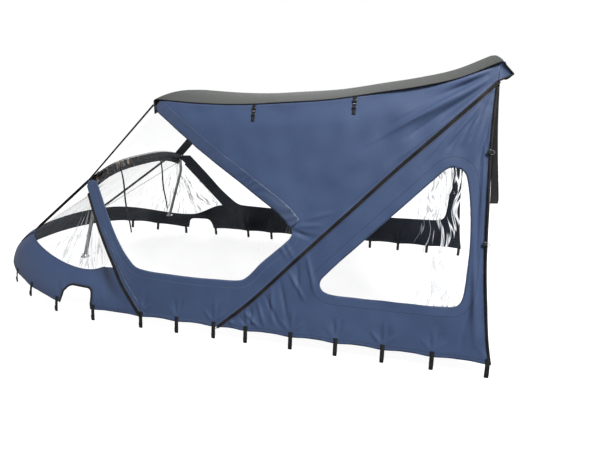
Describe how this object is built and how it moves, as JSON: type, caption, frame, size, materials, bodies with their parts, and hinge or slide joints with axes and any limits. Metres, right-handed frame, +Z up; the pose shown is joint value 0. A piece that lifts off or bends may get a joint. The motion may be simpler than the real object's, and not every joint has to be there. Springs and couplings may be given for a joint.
{
  "type": "boat canopy with its hoop frame",
  "caption": "Fitted navy cloth canopy for a small boat, with clear film windows, a nose apron, hem straps and its tube hoop and bows.",
  "frame": {"origin": "centre of the footprint, at the lowest point of the hem straps", "axes": "+X aft, away from the nose apron; +Y starboard; +Z up"},
  "size_m": [3.7399, 1.961, 1.7016],
  "materials": {
    "navy_cloth": "coated plain-weave cloth, low sheen",
    "roof_cloth": "dark coated cloth, low sheen",
    "clear_film": "clear soft film, glossy, with faint scratches",
    "black_webbing": "ribbed webbing, matte",
    "zip": "moulded zip teeth on cloth tape",
    "tube": "brushed round tube"
  },
  "bodies": {
    "root": {"windscreen_hoop": "tube", "main_bow": "tube", "front_bow": "tube", "roof_panel": "roof_cloth", "nose_apron": "navy_cloth", "front_film": "clear_film", "header_band": "navy_cloth", "front_side_panel_port": "navy_cloth", "front_sleeve_port": "navy_cloth", "front_side_window_port": "clear_film", "rear_side_panel_port": "navy_cloth", "rear_side_window_port": "clear_film", "rear_binding_port": "black_webbing", "pillar_zip_port": "zip", "diagonal_zip_port": "zip", "aft_curtain_port": "roof_cloth", "corner_tape_port": "black_webbing", "bow_strap_port": "black_webbing", "hem_strap_port_01": "black_webbing", "hem_strap_port_02": "black_webbing", "hem_strap_port_03": "black_webbing", "hem_strap_port_04": "black_webbing", "hem_strap_port_05": "black_webbing", "hem_strap_port_06": "black_webbing", "hem_strap_port_07": "black_webbing", "hem_strap_port_08": "black_webbing", "hem_strap_port_09": "black_webbing", "hem_strap_port_10": "black_webbing", "hem_strap_port_11": "black_webbing", "hem_strap_port_12": "black_webbing", "hem_strap_port_13": "black_webbing", "front_side_panel_starboard": "navy_cloth", "front_sleeve_starboard": "navy_cloth", "front_side_window_starboard": "clear_film", "rear_side_panel_starboard": "navy_cloth", "rear_side_window_starboard": "clear_film", "rear_binding_starboard": "black_webbing", "pillar_zip_starboard": "zip", "diagonal_zip_starboard": "zip", "aft_curtain_starboard": "roof_cloth", "corner_tape_starboard": "black_webbing", "bow_strap_starboard": "black_webbing", "hem_strap_starboard_01": "black_webbing", "hem_strap_starboard_02": "black_webbing", "hem_strap_starboard_03": "black_webbing", "hem_strap_starboard_04": "black_webbing", "hem_strap_starboard_05": "black_webbing", "hem_strap_starboard_06": "black_webbing", "hem_strap_starboard_07": "black_webbing", "hem_strap_starboard_08": "black_webbing", "hem_strap_starboard_09": "black_webbing", "hem_strap_starboard_10": "black_webbing", "hem_strap_starboard_11": "black_webbing", "hem_strap_starboard_12": "black_webbing", "hem_strap_starboard_13": "black_webbing", "roof_strap_1": "black_webbing", "roof_strap_2": "black_webbing", "window_tie_1": "black_webbing", "window_tie_2": "black_webbing"}
  },
  "joints": []
}
